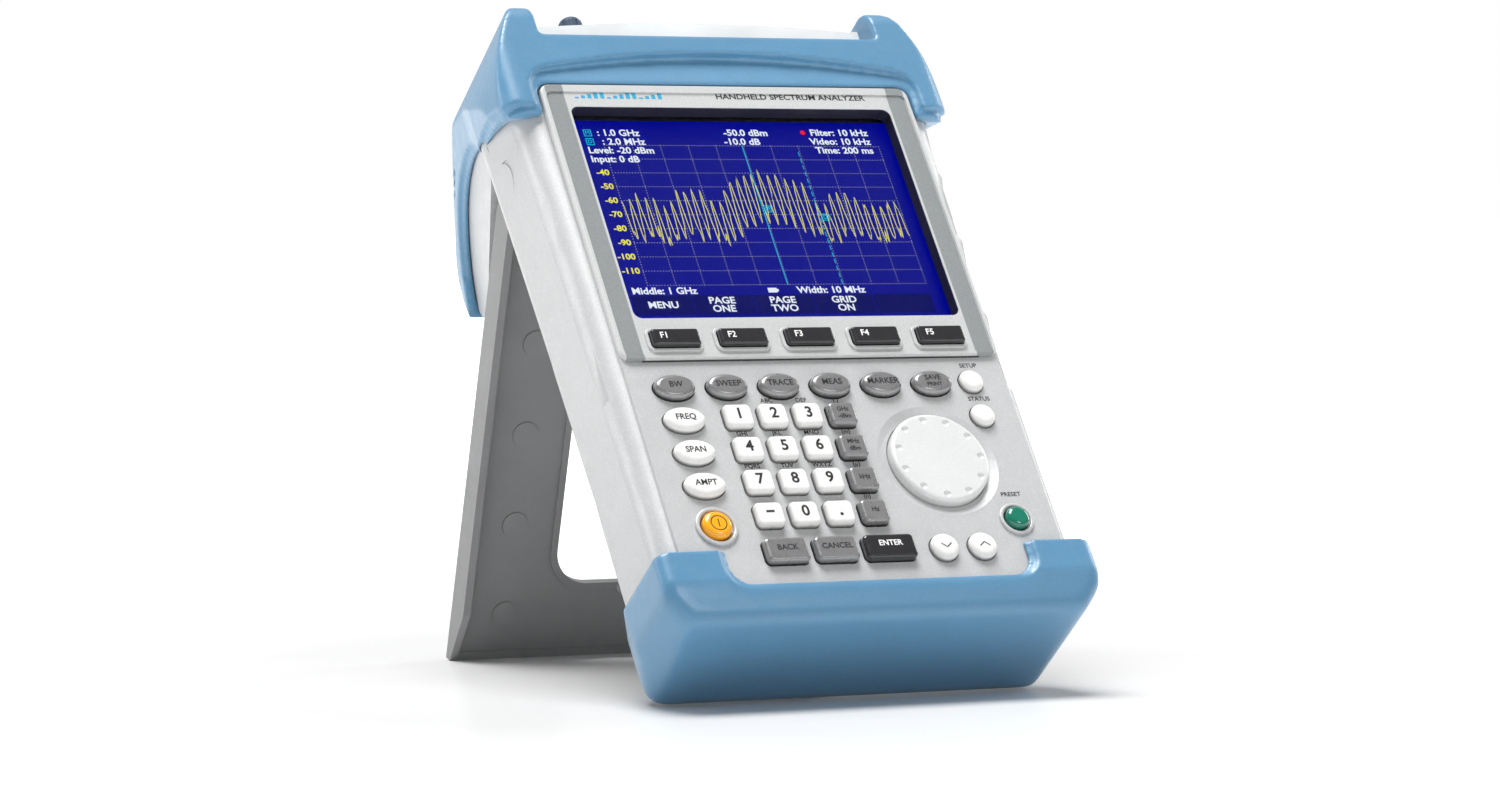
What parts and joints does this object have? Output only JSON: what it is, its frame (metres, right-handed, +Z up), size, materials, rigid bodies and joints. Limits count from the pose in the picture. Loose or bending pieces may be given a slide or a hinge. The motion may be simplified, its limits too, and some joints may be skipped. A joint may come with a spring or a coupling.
{
  "type": "handheld spectrum analyzer",
  "caption": "Handheld spectrum analyzer with rubber bumpers, recessed display, keypad, tuning knob, top signal ports and a fold-out rear stand.",
  "frame": {"origin": "middle of the underside of the whole object as it stands on its lower bumper and open stand", "axes": "+Z up, display and keypad face towards -Y and lean back, +X to the right seen from the front"},
  "size_m": [0.1704, 0.2204, 0.2304],
  "materials": {
    "housing_paint": "fine-grained silver-grey paint",
    "bumper_rubber": "soft-touch steel blue, fine grain",
    "bezel_plastic": "satin light grey with darker side strips",
    "window_glass": "clear hard-coated pane",
    "lcd": "backlit colour display",
    "silicone": "matt silicone",
    "circuit_board": "solder mask",
    "shield_steel": "tinned",
    "battery_wrap": "moulded",
    "panel_plastic": "light grey, fine grain",
    "port_metal": "nickel plated",
    "screw_steel": "black zinc",
    "knob_plastic": "satin silver-grey",
    "stand_plastic": "fine-grained grey",
    "cap_rubber": "matt dark blue",
    "key_black": "satin black",
    "key_grey": "metallic grey",
    "key_white": "satin white",
    "key_yellow": "glossy amber",
    "key_green": "glossy green"
  },
  "bodies": {
    "housing": {"front_shell": "housing_paint", "rear_shell": "housing_paint", "top_bumper": "bumper_rubber", "bottom_bumper": "bumper_rubber", "display_bezel": "bezel_plastic", "display_window": "window_glass", "lcd_panel": "lcd", "keypad_mat": "silicone", "keypad_board": "circuit_board", "main_board": "circuit_board", "rf_module": "shield_steel", "battery_pack": "battery_wrap", "battery_cover": "housing_paint", "rotary_encoder": "shield_steel", "connector_panel": "panel_plastic", "rf_connectors": "port_metal", "aux_sockets": "port_metal", "housing_screws": "screw_steel"},
    "knob": {"knob": "knob_plastic"},
    "stand": {"stand": "stand_plastic"},
    "dust_cap": {"dust_cap": "cap_rubber"},
    "key_f1": {"key_f1": "key_black"},
    "key_f2": {"key_f2": "key_black"},
    "key_f3": {"key_f3": "key_black"},
    "key_f4": {"key_f4": "key_black"},
    "key_f5": {"key_f5": "key_black"},
    "key_bw": {"key_bw": "key_grey"},
    "key_sweep": {"key_sweep": "key_grey"},
    "key_trace": {"key_trace": "key_grey"},
    "key_meas": {"key_meas": "key_grey"},
    "key_marker": {"key_marker": "key_grey"},
    "key_save": {"key_save": "key_grey"},
    "key_freq": {"key_freq": "key_white"},
    "key_span": {"key_span": "key_white"},
    "key_ampt": {"key_ampt": "key_white"},
    "key_1": {"key_1": "key_white"},
    "key_2": {"key_2": "key_white"},
    "key_3": {"key_3": "key_white"},
    "key_ghz": {"key_ghz": "key_grey"},
    "key_4": {"key_4": "key_white"},
    "key_5": {"key_5": "key_white"},
    "key_6": {"key_6": "key_white"},
    "key_mhz": {"key_mhz": "key_grey"},
    "key_7": {"key_7": "key_white"},
    "key_8": {"key_8": "key_white"},
    "key_9": {"key_9": "key_white"},
    "key_khz": {"key_khz": "key_grey"},
    "key_minus": {"key_minus": "key_white"},
    "key_0": {"key_0": "key_white"},
    "key_point": {"key_point": "key_white"},
    "key_hz": {"key_hz": "key_grey"},
    "key_back": {"key_back": "key_grey"},
    "key_cancel": {"key_cancel": "key_grey"},
    "key_enter": {"key_enter": "key_black"},
    "key_down": {"key_down": "key_white"},
    "key_up": {"key_up": "key_white"},
    "key_setup": {"key_setup": "key_white"},
    "key_status": {"key_status": "key_white"},
    "key_power": {"key_power": "key_yellow"},
    "key_preset": {"key_preset": "key_green"}
  },
  "joints": [
    {"name": "key_f1_press", "type": "slide", "parent": "housing", "child": "key_f1", "axis": [0, 0.7944, -0.6074], "range_m": [0, 0.0012], "stiffness_N_per_m": 400},
    {"name": "key_f2_press", "type": "slide", "parent": "housing", "child": "key_f2", "axis": [0, 0.7944, -0.6074], "range_m": [0, 0.0012], "stiffness_N_per_m": 400},
    {"name": "key_f3_press", "type": "slide", "parent": "housing", "child": "key_f3", "axis": [0, 0.7944, -0.6074], "range_m": [0, 0.0012], "stiffness_N_per_m": 400},
    {"name": "key_f4_press", "type": "slide", "parent": "housing", "child": "key_f4", "axis": [0, 0.7944, -0.6074], "range_m": [0, 0.0012], "stiffness_N_per_m": 400},
    {"name": "key_f5_press", "type": "slide", "parent": "housing", "child": "key_f5", "axis": [0, 0.7944, -0.6074], "range_m": [0, 0.0012], "stiffness_N_per_m": 400},
    {"name": "key_bw_press", "type": "slide", "parent": "housing", "child": "key_bw", "axis": [0, 0.7944, -0.6074], "range_m": [0, 0.0012], "stiffness_N_per_m": 400},
    {"name": "key_sweep_press", "type": "slide", "parent": "housing", "child": "key_sweep", "axis": [0, 0.7944, -0.6074], "range_m": [0, 0.0012], "stiffness_N_per_m": 400},
    {"name": "key_trace_press", "type": "slide", "parent": "housing", "child": "key_trace", "axis": [0, 0.7944, -0.6074], "range_m": [0, 0.0012], "stiffness_N_per_m": 400},
    {"name": "key_meas_press", "type": "slide", "parent": "housing", "child": "key_meas", "axis": [0, 0.7944, -0.6074], "range_m": [0, 0.0012], "stiffness_N_per_m": 400},
    {"name": "key_marker_press", "type": "slide", "parent": "housing", "child": "key_marker", "axis": [0, 0.7944, -0.6074], "range_m": [0, 0.0012], "stiffness_N_per_m": 400},
    {"name": "key_save_press", "type": "slide", "parent": "housing", "child": "key_save", "axis": [0, 0.7944, -0.6074], "range_m": [0, 0.0012], "stiffness_N_per_m": 400},
    {"name": "key_freq_press", "type": "slide", "parent": "housing", "child": "key_freq", "axis": [0, 0.7944, -0.6074], "range_m": [0, 0.0012], "stiffness_N_per_m": 400},
    {"name": "key_span_press", "type": "slide", "parent": "housing", "child": "key_span", "axis": [0, 0.7944, -0.6074], "range_m": [0, 0.0012], "stiffness_N_per_m": 400},
    {"name": "key_ampt_press", "type": "slide", "parent": "housing", "child": "key_ampt", "axis": [0, 0.7944, -0.6074], "range_m": [0, 0.0012], "stiffness_N_per_m": 400},
    {"name": "key_1_press", "type": "slide", "parent": "housing", "child": "key_1", "axis": [0, 0.7944, -0.6074], "range_m": [0, 0.0012], "stiffness_N_per_m": 400},
    {"name": "key_2_press", "type": "slide", "parent": "housing", "child": "key_2", "axis": [0, 0.7944, -0.6074], "range_m": [0, 0.0012], "stiffness_N_per_m": 400},
    {"name": "key_3_press", "type": "slide", "parent": "housing", "child": "key_3", "axis": [0, 0.7944, -0.6074], "range_m": [0, 0.0012], "stiffness_N_per_m": 400},
    {"name": "key_ghz_press", "type": "slide", "parent": "housing", "child": "key_ghz", "axis": [0, 0.7944, -0.6074], "range_m": [0, 0.0012], "stiffness_N_per_m": 400},
    {"name": "key_4_press", "type": "slide", "parent": "housing", "child": "key_4", "axis": [0, 0.7944, -0.6074], "range_m": [0, 0.0012], "stiffness_N_per_m": 400},
    {"name": "key_5_press", "type": "slide", "parent": "housing", "child": "key_5", "axis": [0, 0.7944, -0.6074], "range_m": [0, 0.0012], "stiffness_N_per_m": 400},
    {"name": "key_6_press", "type": "slide", "parent": "housing", "child": "key_6", "axis": [0, 0.7944, -0.6074], "range_m": [0, 0.0012], "stiffness_N_per_m": 400},
    {"name": "key_mhz_press", "type": "slide", "parent": "housing", "child": "key_mhz", "axis": [0, 0.7944, -0.6074], "range_m": [0, 0.0012], "stiffness_N_per_m": 400},
    {"name": "key_7_press", "type": "slide", "parent": "housing", "child": "key_7", "axis": [0, 0.7944, -0.6074], "range_m": [0, 0.0012], "stiffness_N_per_m": 400},
    {"name": "key_8_press", "type": "slide", "parent": "housing", "child": "key_8", "axis": [0, 0.7944, -0.6074], "range_m": [0, 0.0012], "stiffness_N_per_m": 400},
    {"name": "key_9_press", "type": "slide", "parent": "housing", "child": "key_9", "axis": [0, 0.7944, -0.6074], "range_m": [0, 0.0012], "stiffness_N_per_m": 400},
    {"name": "key_khz_press", "type": "slide", "parent": "housing", "child": "key_khz", "axis": [0, 0.7944, -0.6074], "range_m": [0, 0.0012], "stiffness_N_per_m": 400},
    {"name": "key_minus_press", "type": "slide", "parent": "housing", "child": "key_minus", "axis": [0, 0.7944, -0.6074], "range_m": [0, 0.0012], "stiffness_N_per_m": 400},
    {"name": "key_0_press", "type": "slide", "parent": "housing", "child": "key_0", "axis": [0, 0.7944, -0.6074], "range_m": [0, 0.0012], "stiffness_N_per_m": 400},
    {"name": "key_point_press", "type": "slide", "parent": "housing", "child": "key_point", "axis": [0, 0.7944, -0.6074], "range_m": [0, 0.0012], "stiffness_N_per_m": 400},
    {"name": "key_hz_press", "type": "slide", "parent": "housing", "child": "key_hz", "axis": [0, 0.7944, -0.6074], "range_m": [0, 0.0012], "stiffness_N_per_m": 400},
    {"name": "key_back_press", "type": "slide", "parent": "housing", "child": "key_back", "axis": [0, 0.7944, -0.6074], "range_m": [0, 0.0012], "stiffness_N_per_m": 400},
    {"name": "key_cancel_press", "type": "slide", "parent": "housing", "child": "key_cancel", "axis": [0, 0.7944, -0.6074], "range_m": [0, 0.0012], "stiffness_N_per_m": 400},
    {"name": "key_enter_press", "type": "slide", "parent": "housing", "child": "key_enter", "axis": [0, 0.7944, -0.6074], "range_m": [0, 0.0012], "stiffness_N_per_m": 400},
    {"name": "key_down_press", "type": "slide", "parent": "housing", "child": "key_down", "axis": [0, 0.7944, -0.6074], "range_m": [0, 0.0012], "stiffness_N_per_m": 400},
    {"name": "key_up_press", "type": "slide", "parent": "housing", "child": "key_up", "axis": [0, 0.7944, -0.6074], "range_m": [0, 0.0012], "stiffness_N_per_m": 400},
    {"name": "key_setup_press", "type": "slide", "parent": "housing", "child": "key_setup", "axis": [0, 0.7944, -0.6074], "range_m": [0, 0.0012], "stiffness_N_per_m": 400},
    {"name": "key_status_press", "type": "slide", "parent": "housing", "child": "key_status", "axis": [0, 0.7944, -0.6074], "range_m": [0, 0.0012], "stiffness_N_per_m": 400},
    {"name": "key_power_press", "type": "slide", "parent": "housing", "child": "key_power", "axis": [0, 0.7944, -0.6074], "range_m": [0, 0.0012], "stiffness_N_per_m": 400},
    {"name": "key_preset_press", "type": "slide", "parent": "housing", "child": "key_preset", "axis": [0, 0.7944, -0.6074], "range_m": [0, 0.0012], "stiffness_N_per_m": 400},
    {"name": "knob_turn", "type": "hinge", "parent": "housing", "child": "knob", "pos_m": [0.0341, -0.0763, 0.07747], "axis": [0, -0.7944, 0.6074], "continuous": true},
    {"name": "stand_fold", "type": "hinge", "parent": "housing", "child": "stand", "pos_m": [0, 0.04555, 0.16357], "axis": [1, 0, 0], "range_deg": [-54.2, 0]},
    {"name": "dust_cap_pull", "type": "slide", "parent": "housing", "child": "dust_cap", "axis": [0, 0.6074, 0.7944], "range_m": [0, 0.012]}
  ]
}
